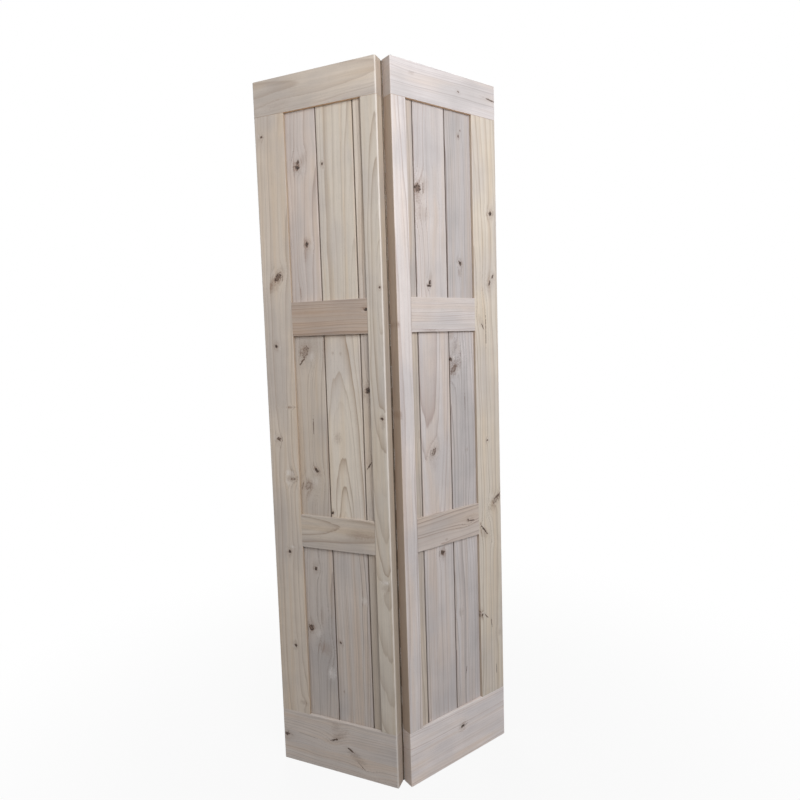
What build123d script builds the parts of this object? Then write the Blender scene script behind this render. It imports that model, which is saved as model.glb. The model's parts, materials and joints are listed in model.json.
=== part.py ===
"""Two-leaf folding barn door in knotty alder, standing half folded on the floor.

Each leaf is a grooved frame of rails and stiles that holds three panels of
tongue-and-groove boards. A continuous hinge on the backs joins the leaves.

Frame: +Z up, the front faces -Y, the fold line stands at X = 0, and the origin
is on the floor under the middle of the door. Lengths are in millimetres.

A leaf is modelled flat, as the right-hand one, with the hinge axis at the
origin: X runs from the fold edge to the outer edge, and the back face looks
towards +Y. The left-hand leaf is its mirror image.
"""

import os
from math import cos, radians, sin

from build123d import *

# The leaf
LEAF_HEIGHT = 2032.0
LEAF_WIDTH = 384.0
LEAF_THICKNESS = 35.0
ARRIS_RADIUS = 3.5

# The frame of one leaf
TOP_RAIL_HEIGHT = 98.0
MID_RAIL_HEIGHT = 96.0
BOTTOM_RAIL_HEIGHT = 161.0
OUTER_STILE_WIDTH = 97.0
FOLD_STILE_WIDTH = 48.0
PANEL_COUNT = 3

# The groove round each panel, and the stub tenons that sit in it
GROOVE_DEPTH = 10.0
GROOVE_SIDE_PLAY = 0.15
TENON_END_PLAY = 0.5
BOARD_TOP_PLAY = 1.0

# The panel boards, with seams measured from the fold edge of the leaf
BOARD_THICKNESS = 16.0
BOARD_SEAMS = (77.0, 191.0)
SEAM_GAP = 2.6
SEAM_CHAMFER = 1.8
TONGUE_THICKNESS = 5.0
TONGUE_LENGTH = 8.0
TONGUE_PLAY = 0.2

# The continuous hinge
HINGE_END_GAP = 2.0
HINGE_LEAF_WIDTH = 19.0
HINGE_LEAF_THICKNESS = 1.0
KNUCKLE_RADIUS = 2.25
KNUCKLE_COUNT = 35
KNUCKLE_GAP = 0.4
PIN_RADIUS = 1.2
PIN_PLAY = 0.05
SWING_PLAY = 0.4

# How the leaves stand
EDGE_GAP = 1.6
HALF_FOLD = 29.4

# Sizes that follow
FOLD_EDGE = EDGE_GAP / 2
OUTER_EDGE = FOLD_EDGE + LEAF_WIDTH
BACK_FACE = -KNUCKLE_RADIUS
FRONT_FACE = BACK_FACE - LEAF_THICKNESS
MID_PLANE = (BACK_FACE + FRONT_FACE) / 2
OPENING_START = FOLD_EDGE + FOLD_STILE_WIDTH
OPENING_END = OUTER_EDGE - OUTER_STILE_WIDTH
STILE_LENGTH = LEAF_HEIGHT - TOP_RAIL_HEIGHT - BOTTOM_RAIL_HEIGHT
PANEL_HEIGHT = (STILE_LENGTH - (PANEL_COUNT - 1) * MID_RAIL_HEIGHT) / PANEL_COUNT
PANEL_PITCH = PANEL_HEIGHT + MID_RAIL_HEIGHT
GROOVE_WIDTH = BOARD_THICKNESS + 2 * GROOVE_SIDE_PLAY
HINGE_LENGTH = LEAF_HEIGHT - 2 * HINGE_END_GAP
KNUCKLE_PITCH = HINGE_LENGTH / KNUCKLE_COUNT
BORE_RADIUS = PIN_RADIUS + PIN_PLAY

# The arrises that are rounded, as places along and through the leaf. The back
# arris at the fold stays square, so that the leaves close onto the hinge.
FOLD_ARRIS = ((FOLD_EDGE, FRONT_FACE),)
OUTER_ARRISES = ((OUTER_EDGE, FRONT_FACE), (OUTER_EDGE, BACK_FACE))

PANEL_NAMES = ("lower", "middle", "upper")
LOW = (Align.MIN, Align.CENTER, Align.MIN)


def bar(start, end, bottom, top, thickness, middle=MID_PLANE):
    """A square bar between two places along the leaf and two heights."""
    size = Box(end - start, thickness, top - bottom, align=LOW)
    return Pos(start, middle, bottom) * size


def stands_at(edge, place):
    """Whether an upright edge stands at a place along and through the leaf."""
    middle = edge.center()
    return abs(middle.X - place[0]) < 1e-6 and abs(middle.Y - place[1]) < 1e-6


def ease(piece, places):
    """Rounds the upright arrises that stand at the given places."""
    uprights = piece.edges().filter_by(Axis.Z)
    arrises = [e for e in uprights if any(stands_at(e, place) for place in places)]
    return fillet(arrises, ARRIS_RADIUS)


def end_rail(bottom, height, groove_bottom):
    """A rail across the whole leaf, with a stopped groove along its panel edge."""
    rail = ease(
        bar(FOLD_EDGE, OUTER_EDGE, bottom, bottom + height, LEAF_THICKNESS),
        (*FOLD_ARRIS, *OUTER_ARRISES),
    )
    return rail - bar(
        OPENING_START - GROOVE_DEPTH,
        OPENING_END + GROOVE_DEPTH,
        groove_bottom,
        groove_bottom + GROOVE_DEPTH,
        GROOVE_WIDTH,
    )


def stile(start, end, arrises, groove_start):
    """An upright between the end rails, eased outside and grooved inside."""
    bottom = BOTTOM_RAIL_HEIGHT
    top = bottom + STILE_LENGTH
    upright = ease(bar(start, end, bottom, top, LEAF_THICKNESS), arrises)
    return upright - bar(groove_start, groove_start + GROOVE_DEPTH, bottom, top, GROOVE_WIDTH)


def mid_rail(bottom):
    """A rail between the stiles, grooved on both edges, with a stub tenon each end."""
    top = bottom + MID_RAIL_HEIGHT
    reach = GROOVE_DEPTH - TENON_END_PLAY
    rail = bar(OPENING_START, OPENING_END, bottom, top, LEAF_THICKNESS)
    for groove_bottom in (bottom, top - GROOVE_DEPTH):
        groove_top = groove_bottom + GROOVE_DEPTH
        rail -= bar(OPENING_START, OPENING_END, groove_bottom, groove_top, GROOVE_WIDTH)
    return rail + bar(
        OPENING_START - reach,
        OPENING_END + reach,
        bottom + GROOVE_DEPTH,
        top - GROOVE_DEPTH,
        BOARD_THICKNESS,
    )


def seam_edge(piece, place, bottom, top):
    """Bevels both faces of a board along a seam, for the V joint."""
    for face in (MID_PLANE - BOARD_THICKNESS / 2, MID_PLANE + BOARD_THICKNESS / 2):
        wedge = Rot(0, 0, 45) * Rectangle(SEAM_CHAMFER * 2**0.5, SEAM_CHAMFER * 2**0.5)
        piece -= extrude(Pos(place, face, bottom) * wedge, top - bottom)
    return piece


def board(start, end, bottom, top, first, last):
    """A panel board from one seam to the next, or to the bottom of a stile groove.

    It has a tongue towards the fold edge and a groove on the other side, where
    another board stands beside it.
    """
    low = start if first else start + SEAM_GAP / 2
    high = end if last else end - SEAM_GAP / 2
    piece = bar(low, high, bottom, top, BOARD_THICKNESS)
    if not first:
        piece = seam_edge(piece, low, bottom, top)
        piece += bar(low - TONGUE_LENGTH, low, bottom, top, TONGUE_THICKNESS)
    if not last:
        piece = seam_edge(piece, high, bottom, top)
        slot = TONGUE_THICKNESS + 2 * TONGUE_PLAY
        slot_start = high - TONGUE_LENGTH - TONGUE_PLAY + SEAM_GAP
        piece -= bar(slot_start, high, bottom, top, slot)
    return piece


def panel_boards():
    """The boards of the three panels of a leaf, by name."""
    edges = (
        OPENING_START - GROOVE_DEPTH + TENON_END_PLAY,
        *(FOLD_EDGE + seam for seam in BOARD_SEAMS),
        OPENING_END + GROOVE_DEPTH - TENON_END_PLAY,
    )
    names = ("fold_board", "centre_board", "outer_board")
    boards = {}
    for level, panel in enumerate(PANEL_NAMES):
        bottom = BOTTOM_RAIL_HEIGHT + level * PANEL_PITCH - GROOVE_DEPTH
        top = bottom + PANEL_HEIGHT + 2 * GROOVE_DEPTH - BOARD_TOP_PLAY
        for i, name in enumerate(names):
            boards[f"{panel}_{name}"] = board(
                edges[i], edges[i + 1], bottom, top, i == 0, i == len(names) - 1
            )
    return boards


def leaf_pieces():
    """The wooden pieces of one leaf, by name, flat and right-handed."""
    top_rail_bottom = LEAF_HEIGHT - TOP_RAIL_HEIGHT
    first_mid_rail = BOTTOM_RAIL_HEIGHT + PANEL_HEIGHT
    return {
        "top_rail": end_rail(top_rail_bottom, TOP_RAIL_HEIGHT, top_rail_bottom),
        "bottom_rail": end_rail(0, BOTTOM_RAIL_HEIGHT, BOTTOM_RAIL_HEIGHT - GROOVE_DEPTH),
        "outer_stile": stile(OPENING_END, OUTER_EDGE, OUTER_ARRISES, OPENING_END),
        "fold_stile": stile(
            FOLD_EDGE, OPENING_START, FOLD_ARRIS, OPENING_START - GROOVE_DEPTH
        ),
        "lower_mid_rail": mid_rail(first_mid_rail),
        "upper_mid_rail": mid_rail(first_mid_rail + PANEL_PITCH),
        **panel_boards(),
    }


def hinge_leaf(first):
    """One leaf of the continuous hinge, flat and right-handed.

    Every second knuckle is its own, starting with the one numbered by first.
    """
    plate_middle = BACK_FACE + HINGE_LEAF_THICKNESS / 2
    clear_edge = KNUCKLE_RADIUS + SWING_PLAY
    hinge_top = HINGE_END_GAP + HINGE_LENGTH
    plate = bar(
        clear_edge, HINGE_LEAF_WIDTH, HINGE_END_GAP, hinge_top, HINGE_LEAF_THICKNESS, plate_middle
    )
    ring = Circle(KNUCKLE_RADIUS)
    web = Pos(clear_edge / 2, plate_middle) * Rectangle(clear_edge, HINGE_LEAF_THICKNESS)
    profile = ring + web - Circle(BORE_RADIUS)
    knuckles = []
    for i in range(first, KNUCKLE_COUNT, 2):
        bottom = HINGE_END_GAP + i * KNUCKLE_PITCH + KNUCKLE_GAP / 2
        knuckles.append(extrude(Pos(0, 0, bottom) * profile, KNUCKLE_PITCH - KNUCKLE_GAP))
    return plate + knuckles


def hinge_pin():
    """The pin that runs through every knuckle."""
    upright = (Align.CENTER, Align.CENTER, Align.MIN)
    return Pos(0, 0, HINGE_END_GAP) * Cylinder(PIN_RADIUS, HINGE_LENGTH, align=upright)


def fold_depth():
    """How far the half-folded door reaches in front of and behind the hinge axis."""
    turn = radians(HALF_FOLD)
    front = FOLD_EDGE * sin(turn) + FRONT_FACE * cos(turn)
    back = OUTER_EDGE * sin(turn) + BACK_FACE * cos(turn)
    return front, back


def main():
    os.makedirs("parts", exist_ok=True)
    front, back = fold_depth()
    stand = Pos(0, -(front + back) / 2, 0)
    nodes = {"hinge_pin": stand * hinge_pin()}
    wood = leaf_pieces()
    for side, sign, first_knuckle in (("left", -1, 0), ("right", 1, 1)):
        pieces = {**wood, "hinge_leaf": hinge_leaf(first_knuckle)}
        turned = stand * Rot(0, 0, sign * HALF_FOLD)
        for name, piece in pieces.items():
            handed = piece if sign > 0 else mirror(piece, about=Plane.YZ)
            nodes[f"{side}_{name}"] = turned * handed
    for name, shape in nodes.items():
        export_step(shape, f"parts/{name}.step")
    print("hinge axis Y", round(-(front + back) / 2, 3), "panel height", round(PANEL_HEIGHT, 3))


main()
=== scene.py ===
"""The looks of a two-leaf folding barn door: bare knotty alder on a dark bronze hinge.

Every wooden piece is a merged and eased copy of its solid, dressed in its own
alder: growth rings round a pith, streaks, fibres, and the knots that the door
shows, all worked out in the leaf's own frame so that they run through the wood.

In the leaf's frame, in millimetres, X runs from the fold edge to the outer edge,
Y runs through the leaf from front to back, and Z stands on the floor.
"""

from __future__ import annotations

import json
import logging
import random
from dataclasses import dataclass
from enum import Enum
from math import cos, pi, radians, sin

import bpy
from mathutils import Matrix, Vector

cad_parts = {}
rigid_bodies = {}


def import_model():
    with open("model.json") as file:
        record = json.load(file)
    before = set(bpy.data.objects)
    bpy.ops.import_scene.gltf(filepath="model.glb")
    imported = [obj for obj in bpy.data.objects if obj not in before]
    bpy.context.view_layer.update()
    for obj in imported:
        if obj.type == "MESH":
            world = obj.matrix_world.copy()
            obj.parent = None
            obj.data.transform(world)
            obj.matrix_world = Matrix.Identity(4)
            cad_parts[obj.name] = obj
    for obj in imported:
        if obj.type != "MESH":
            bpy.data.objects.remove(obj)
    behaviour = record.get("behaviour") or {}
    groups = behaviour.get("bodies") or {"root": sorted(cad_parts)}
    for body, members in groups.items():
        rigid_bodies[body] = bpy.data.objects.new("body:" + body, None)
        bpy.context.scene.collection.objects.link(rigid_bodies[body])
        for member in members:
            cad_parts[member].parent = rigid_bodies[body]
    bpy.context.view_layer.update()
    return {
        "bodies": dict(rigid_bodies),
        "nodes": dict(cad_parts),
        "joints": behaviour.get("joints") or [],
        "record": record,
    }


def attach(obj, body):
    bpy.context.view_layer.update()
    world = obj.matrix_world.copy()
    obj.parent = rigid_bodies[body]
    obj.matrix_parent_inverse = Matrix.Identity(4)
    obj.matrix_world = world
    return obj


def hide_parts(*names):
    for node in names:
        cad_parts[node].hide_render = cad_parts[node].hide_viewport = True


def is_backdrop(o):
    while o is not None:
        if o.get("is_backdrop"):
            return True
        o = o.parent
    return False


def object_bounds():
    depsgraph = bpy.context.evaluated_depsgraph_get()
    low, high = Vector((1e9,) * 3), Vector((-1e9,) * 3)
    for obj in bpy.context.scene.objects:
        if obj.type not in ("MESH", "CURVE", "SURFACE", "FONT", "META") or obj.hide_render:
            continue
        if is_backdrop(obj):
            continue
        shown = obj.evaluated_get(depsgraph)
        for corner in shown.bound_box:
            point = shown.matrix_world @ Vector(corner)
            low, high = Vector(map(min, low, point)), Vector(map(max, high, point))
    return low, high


LOG = logging.getLogger("barn_door")
MM = 0.001
Colour = tuple[float, float, float, float]
Triple = tuple[float, float, float]
Pair = tuple[float, float]


def srgb(red: int, green: int, blue: int) -> Colour:
    """A screen colour as the linear colour that a shader takes.

    Args:
        red: Red, from 0 to 255.
        green: Green, from 0 to 255.
        blue: Blue, from 0 to 255.

    Returns:
        The linear colour with full alpha.
    """

    def linear(level: int) -> float:
        """One channel without its screen curve."""
        share = level / 255
        return share / 12.92 if share <= 0.04045 else ((share + 0.055) / 1.055) ** 2.4

    return linear(red), linear(green), linear(blue), 1.0


class Side(Enum):
    """Which leaf a piece belongs to, with the sign of its X in the door's frame."""

    LEFT = -1
    RIGHT = 1

    @property
    def word(self) -> str:
        """The side's name as the solids use it."""
        return self.name.lower()


class Grain(Enum):
    """Which way the fibres of a piece run."""

    UPRIGHT = "upright"
    ACROSS = "across"


class Member(Enum):
    """What a piece is in its leaf, by the end of its name."""

    BOARD = "board"
    STILE = "stile"
    MID_RAIL = "mid_rail"
    END_RAIL = "rail"

    @classmethod
    def named(cls, name: str) -> "Member":
        """The kind of a piece, the first whose ending fits its name."""
        return next(member for member in cls if name.endswith(member.value))

    @property
    def grain(self) -> Grain:
        """Boards and stiles stand along the grain, and rails lie along it."""
        return Grain.UPRIGHT if self in (Member.BOARD, Member.STILE) else Grain.ACROSS


class MarkKind(Enum):
    """What a mark in the wood is."""

    KNOT = "knot"
    RING = "ring"
    STREAK = "streak"
    PALE = "pale"
    STAIN = "stain"


@dataclass(frozen=True)
class MarkStrength:
    """How much a kind of mark shows, from 0 to 1, and how many radii its soft part reaches.

    A hollow mark is dark round its rim only.
    """

    core: float
    halo: float
    pale: float
    push: float
    reach: float
    hollow: float = 0.0


MARK_STRENGTHS = {
    MarkKind.KNOT: MarkStrength(core=1.0, halo=0.8, pale=0.0, push=1.0, reach=3.4),
    MarkKind.RING: MarkStrength(core=1.0, halo=0.9, pale=0.0, push=1.0, reach=2.8, hollow=0.6),
    MarkKind.STREAK: MarkStrength(core=0.75, halo=0.35, pale=0.0, push=0.25, reach=2.6),
    MarkKind.PALE: MarkStrength(core=0.0, halo=0.0, pale=0.8, push=0.3, reach=1.4),
    MarkKind.STAIN: MarkStrength(core=0.0, halo=0.8, pale=0.0, push=0.5, reach=1.5),
}


@dataclass(frozen=True)
class Mark:
    """A knot, streak or patch, placed from the fold edge and from the top of the leaf.

    Its radius is across the grain, in millimetres, and stretch makes it longer
    along the grain. The turn leans it clockwise as seen from the front, in degrees.
    """

    kind: MarkKind
    from_fold: float
    from_top: float
    radius: float
    stretch: float = 1.3
    turn: float = 0.0
    strength: float = 1.0


@dataclass(frozen=True)
class AlderTint:
    """The colours of one plank of bare alder."""

    early: Colour
    late: Colour
    warm: Colour
    cool: Colour


class Tint(Enum):
    """The planks that the door was cut from."""

    TAN = AlderTint(srgb(206, 194, 182), srgb(160, 141, 126), srgb(203, 187, 170), srgb(192, 182, 174))
    PINK = AlderTint(srgb(216, 208, 206), srgb(172, 153, 147), srgb(212, 199, 191), srgb(202, 196, 196))
    CREAM = AlderTint(srgb(213, 203, 191), srgb(168, 149, 132), srgb(211, 197, 180), srgb(203, 194, 186))
    GREY = AlderTint(srgb(193, 184, 178), srgb(146, 132, 124), srgb(193, 178, 166), srgb(180, 173, 170))
    ROSE = AlderTint(srgb(212, 200, 193), srgb(166, 146, 136), srgb(209, 192, 179), srgb(198, 188, 183))
    SILVER = AlderTint(srgb(198, 192, 192), srgb(146, 135, 133), srgb(195, 185, 180), srgb(183, 178, 178))
    BROWN = AlderTint(srgb(187, 170, 157), srgb(145, 123, 108), srgb(187, 164, 146), srgb(172, 157, 148))


@dataclass(frozen=True)
class Figure:
    """How a plank was sawn from its log, in millimetres.

    The pith lies that far across from the middle of the piece and that deep under
    its face, and slope tips it along the grain, which draws the pointed arches.
    """

    ring_pitch: float
    pith_across: float
    pith_depth: float
    pith_slope: float
    line_strength: float


class Sawn(Enum):
    """Ways of sawing a plank."""

    STRAIGHT = Figure(10.0, -190.0, 60.0, 0.0, 1.2)
    ARCHED = Figure(10.0, 20.0, 70.0, 0.085, 1.1)
    LEANING = Figure(11.0, -55.0, 50.0, 0.05, 1.05)
    QUIET = Figure(7.0, -150.0, 60.0, 0.012, 1.15)


@dataclass(frozen=True)
class Timber:
    """What one wooden piece is cut from, and the marks that show on it.

    A turned piece has its arches pointing down, or towards its outer end. The
    shade is how light this plank is against others of its tint, rings how strongly
    its growth rings show against others sawn that way, and the last how much
    painted shade browns and darkens a stile's sides.
    """

    tint: Tint
    sawn: Sawn
    marks: tuple[Mark, ...] = ()
    turned: bool = False
    shade: float = 1.0
    rings: float = 1.0
    side_wear: float = 0.6


def knot(from_fold: float, from_top: float, radius: float, **more: float) -> Mark:
    """A dark knot that the grain flows round."""
    return Mark(MarkKind.KNOT, from_fold, from_top, radius, **more)


def ring(from_fold: float, from_top: float, radius: float, **more: float) -> Mark:
    """A knot that is dark round its rim and brown within."""
    return Mark(MarkKind.RING, from_fold, from_top, radius, **more)


def streak(from_fold: float, from_top: float, radius: float, **more: float) -> Mark:
    """A thin dark crack or vein."""
    return Mark(MarkKind.STREAK, from_fold, from_top, radius, **more)


def pale(from_fold: float, from_top: float, radius: float, **more: float) -> Mark:
    """A pale, silky patch."""
    return Mark(MarkKind.PALE, from_fold, from_top, radius, **more)


def stain(from_fold: float, from_top: float, radius: float, **more: float) -> Mark:
    """A soft brown patch with no hard core."""
    return Mark(MarkKind.STAIN, from_fold, from_top, radius, **more)


def company(
    mark: Mark, rng: random.Random, least: float = 3.4, sway: float = 10.0, fan: float = 16.0
) -> list[Mark]:
    """The vein, the smear, the silky patch and the rays that go with a knot of some size.

    Args:
        mark: Any mark.
        rng: Places the company.
        least: Smaller knots stand alone, as do marks of other kinds.
        sway: The most that the company leans off the knot's lean, in degrees.
        fan: How far each ray leans off the company's lean, in degrees.

    Returns:
        The marks round the knot.
    """
    if mark.kind not in (MarkKind.KNOT, MarkKind.RING) or mark.radius < least:
        return []
    size = mark.radius
    side = rng.choice((-1.0, 1.0))
    end = rng.choice((-1.0, 1.0))
    lean = mark.turn / 2 + rng.uniform(-sway, sway)

    def beside(aside: float, along: float) -> tuple[float, float]:
        """The place that many radii aside from the knot and below it."""
        return mark.from_fold + aside * size, mark.from_top + along * size

    vein = streak(*beside(2.0 * side, 0.0), 0.22 * size, stretch=9.0, turn=lean, strength=0.4)
    smear = stain(*beside(0.0, 2.2 * end), size, stretch=2.2, turn=mark.turn, strength=0.6)
    silk = pale(*beside(-1.8 * side, -end), 1.2 * size, turn=lean, strength=0.5)
    rays = [
        streak(*beside(1.6 * way, -3.0 * end), 0.2 * size, stretch=9.0, turn=lean + fan * way, strength=0.2)
        for way in (-1.0, 1.0)
    ]
    return [vein, smear, silk, *rays]


LEFT_TIMBERS = {
    "top_rail": Timber(
        Tint.TAN, Sawn.ARCHED, (stain(300, 75, 12, stretch=3.0, strength=0.5),), shade=0.94, rings=0.6
    ),
    "bottom_rail": Timber(
        Tint.GREY,
        Sawn.QUIET,
        (
            streak(205, 1932, 3.6, stretch=4.4, turn=-22),
            stain(190, 1918, 12, stretch=2.6, turn=-38),
            stain(200, 1898, 20, stretch=0.8, strength=0.6),
            streak(153, 1951, 4.0, stretch=4.0, turn=36),
            stain(134, 1970, 12, stretch=3.0, turn=32, strength=0.9),
            streak(118, 1988, 1.6, stretch=12, turn=34, strength=0.5),
            streak(300, 1940, 1.2, stretch=40, turn=4, strength=0.35),
            knot(372, 1952, 7, stretch=1.6, strength=0.7),
        ),
        shade=1.13,
    ),
    "outer_stile": Timber(
        Tint.TAN,
        Sawn.LEANING,
        (
            knot(364, 154, 4, strength=0.6),
            ring(330, 551, 8.5, stretch=1.8, turn=26),
            stain(345, 578, 10, stretch=1.8, turn=24),
            knot(344.6, 749, 4.5, stretch=1.6, strength=0.85),
            stain(306, 928, 20, stretch=0.16, strength=0.9),
            knot(353, 1024, 6, strength=0.6),
            ring(312, 1142, 8.0, stretch=0.7, strength=0.45),
            stain(316, 1142, 11, stretch=0.9, strength=0.9),
            pale(320, 1124, 12, stretch=0.7, strength=0.8),
            knot(334, 1364, 4.5),
            pale(322, 1349, 10, stretch=0.5, strength=0.6),
            knot(328, 1657, 3.8, stretch=1.8, strength=0.8),
            stain(307, 1836, 13, stretch=0.6, strength=0.9),
        ),
        shade=1.0,
        rings=0.8,
    ),
    "fold_stile": Timber(
        Tint.CREAM,
        Sawn.ARCHED,
        (
            knot(9, 599, 3.3, stretch=1.4, strength=0.9),
            knot(13.5, 955, 3.6, strength=1.1),
            stain(13, 972, 6, stretch=2.4, strength=0.7),
            pale(21, 1420, 12, stretch=0.55),
            stain(21, 1438, 12, stretch=0.8, strength=0.7),
        ),
        turned=True,
        shade=0.87,
        rings=1.05,
        side_wear=0.25,
    ),
    "upper_mid_rail": Timber(Tint.BROWN, Sawn.QUIET, (knot(51.7, 655, 4.4, stretch=1.6),), shade=0.92),
    "lower_mid_rail": Timber(
        Tint.TAN, Sawn.ARCHED, (stain(108, 1290, 12, stretch=3.2, strength=0.5),), shade=0.9
    ),
    "upper_outer_board": Timber(
        Tint.ROSE,
        Sawn.LEANING,
        (
            knot(253, 250, 6.5, stretch=1.2),
            streak(252, 236, 2.4, stretch=4.0, turn=6),
            stain(239, 232, 12, stretch=1.8, turn=34, strength=0.8),
            streak(266, 222, 1.5, stretch=26, turn=10, strength=0.35),
            knot(233, 465, 5.0, stretch=1.6),
            stain(236, 492, 9, stretch=2.2, turn=12, strength=0.6),
            stain(262, 600, 9, stretch=2.0, strength=0.5),
        ),
        shade=0.95,
    ),
    "upper_centre_board": Timber(
        Tint.CREAM,
        Sawn.LEANING,
        (knot(175, 251, 3.3, strength=1.2), stain(172, 262, 3)),
        shade=0.92,
        rings=0.85,
    ),
    "upper_fold_board": Timber(Tint.TAN, Sawn.STRAIGHT, shade=1.05),
    "middle_outer_board": Timber(
        Tint.TAN,
        Sawn.LEANING,
        (
            ring(253, 770, 9.0, stretch=2.8, turn=14, strength=0.45),
            streak(259, 796, 2.0, stretch=7, turn=30, strength=0.8),
            stain(250, 760, 16, stretch=1.6, strength=0.8),
            streak(238, 985, 1.4, stretch=22, strength=0.8),
            knot(234, 1113, 4.2, stretch=2.2, turn=-30),
            ring(262, 1160, 10.0, stretch=1.6, turn=25, strength=0.35),
            stain(262, 1160, 15, stretch=1.3, turn=20),
        ),
        shade=0.9,
    ),
    "middle_centre_board": Timber(
        Tint.CREAM,
        Sawn.ARCHED,
        (
            stain(165, 773, 3.5, strength=0.9),
            stain(140, 775, 4, strength=0.7),
            stain(158, 1015, 11, stretch=1.6, strength=0.8),
            knot(185, 1236, 3.6, stretch=1.5),
        ),
        shade=0.99,
        rings=1.3,
    ),
    "middle_fold_board": Timber(
        Tint.TAN,
        Sawn.STRAIGHT,
        (
            knot(60, 878, 8.5, stretch=1.1),
            streak(62, 1090, 2.6, stretch=6, turn=34),
            stain(60, 1080, 12, strength=0.8),
        ),
        shade=0.97,
    ),
    "lower_outer_board": Timber(
        Tint.GREY,
        Sawn.LEANING,
        (
            knot(249.5, 1411, 4.4, stretch=1.7),
            stain(250, 1404, 11, stretch=1.6, strength=0.6),
            ring(273, 1597, 8.0, stretch=1.3, turn=-15),
            pale(256, 1612, 13, stretch=0.9, strength=0.5),
            stain(232, 1655, 24, stretch=0.8, turn=38, strength=1.1),
            pale(211, 1730, 13, stretch=1.5, strength=0.75),
            stain(236, 1560, 12, stretch=2.2, strength=0.5),
        ),
        shade=0.98,
    ),
    "lower_centre_board": Timber(
        Tint.GREY,
        Sawn.STRAIGHT,
        (
            knot(177, 1628, 3.2, stretch=1.7, turn=-25),
            streak(118, 1527, 1.3, stretch=0.08, strength=0.7),
            pale(94, 1488, 9, strength=0.5),
            stain(172, 1779, 2.6, stretch=1.6),
        ),
        shade=1.05,
        rings=1.6,
    ),
    "lower_fold_board": Timber(Tint.TAN, Sawn.STRAIGHT, shade=0.78),
}

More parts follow.
